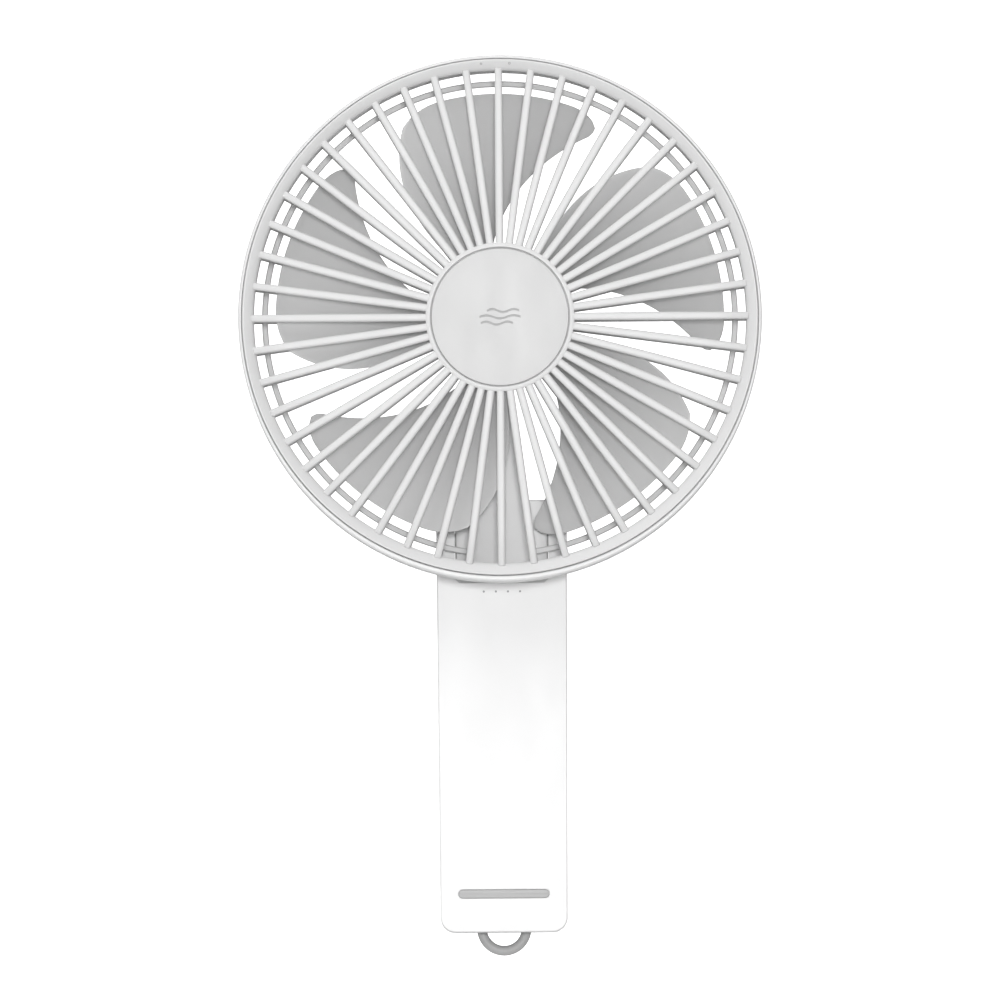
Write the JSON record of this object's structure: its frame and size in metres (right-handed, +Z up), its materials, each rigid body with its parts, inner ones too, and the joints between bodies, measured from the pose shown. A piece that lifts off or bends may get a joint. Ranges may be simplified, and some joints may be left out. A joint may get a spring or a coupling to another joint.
{
  "type": "handheld electric fan",
  "caption": "Rechargeable handheld fan: round ribbed head with a bladed impeller, folding back on a hinge behind a flat battery handle with a lanyard loop.",
  "frame": {"origin": "under the middle of the whole fan, level with the foot of the lanyard loop", "axes": "+Z up the handle towards the head, -Y the way the air blows, +X to the right seen from the front"},
  "size_m": [0.1468, 0.0564, 0.252],
  "materials": {
    "white_casing": "satin moulded ABS",
    "grille_grey": "satin moulded ABS, pale warm grey",
    "blade_grey": "satin moulded plastic, mid grey",
    "trim_grey": "matt grey plastic",
    "steel": "plated steel",
    "copper": "enamelled copper wire",
    "bronze": "sintered bronze",
    "ferrite": "black moulded",
    "board": "green solder mask",
    "cell": "blue shrink wrap over the can",
    "lead": "black insulation",
    "lamp": "clear diffusing plastic"
  },
  "bodies": {
    "handle": {"handle_front_shell": "white_casing", "handle_rear_shell": "white_casing", "accent_strip": "trim_grey", "battery_cell": "cell", "battery_tab_top": "steel", "battery_tab_bottom": "steel", "battery_lead_positive": "lead", "battery_lead_negative": "lead", "main_board": "board", "lamp_board": "board", "light_guide": "lamp", "lamp_1": "lamp", "lamp_2": "lamp", "lamp_3": "lamp", "lamp_4": "lamp", "button_switch": "ferrite", "usb_socket": "steel", "case_screw_1": "steel", "case_screw_2": "steel", "case_screw_3": "steel", "case_screw_4": "steel", "hinge_pin": "steel", "loop_pin": "steel"},
    "head": {"head_shell": "white_casing", "rear_grille": "grille_grey", "lead_cover": "white_casing", "motor_rear_cover": "white_casing", "motor_base": "trim_grey", "bearing_front": "bronze", "bearing_rear": "bronze", "stator_core": "steel", "coil_1": "copper", "coil_2": "copper", "coil_3": "copper", "coil_4": "copper", "coil_5": "copper", "coil_6": "copper", "motor_board": "board", "motor_screw_1": "steel", "motor_screw_2": "steel", "motor_screw_3": "steel", "motor_lead": "lead", "hinge_knuckle": "white_casing", "hinge_washer_left": "steel", "hinge_washer_right": "steel", "knuckle_screw_1": "steel", "knuckle_screw_2": "steel"},
    "grille": {"front_grille": "grille_grey", "hub_badge": "grille_grey"},
    "rotor": {"impeller": "blade_grey", "spinner": "trim_grey", "motor_shaft": "steel", "rotor_can": "steel", "rotor_magnet": "ferrite"},
    "button": {"power_button": "trim_grey"},
    "loop": {"lanyard_loop": "trim_grey"}
  },
  "joints": [
    {"name": "head_fold", "type": "hinge", "parent": "handle", "child": "head", "pos_m": [0, 0.0163, 0.1167], "axis": [1, 0, 0], "range_deg": [-180, 0]},
    {"name": "impeller_spin", "type": "hinge", "parent": "head", "child": "rotor", "pos_m": [0, -0.01, 0.1786], "axis": [0, 1, 0], "continuous": true},
    {"name": "grille_twist", "type": "hinge", "parent": "head", "child": "grille", "pos_m": [0, -0.024, 0.1786], "axis": [0, 1, 0], "range_deg": [-14, 0]},
    {"name": "button_press", "type": "slide", "parent": "handle", "child": "button", "axis": [0, -1, 0], "range_m": [0, 0.0004], "stiffness_N_per_m": 600, "springref_m": -0.0005},
    {"name": "loop_swing", "type": "hinge", "parent": "handle", "child": "loop", "pos_m": [0, 0.0163, 0.0105], "axis": [1, 0, 0], "range_deg": [-40, 40]}
  ]
}
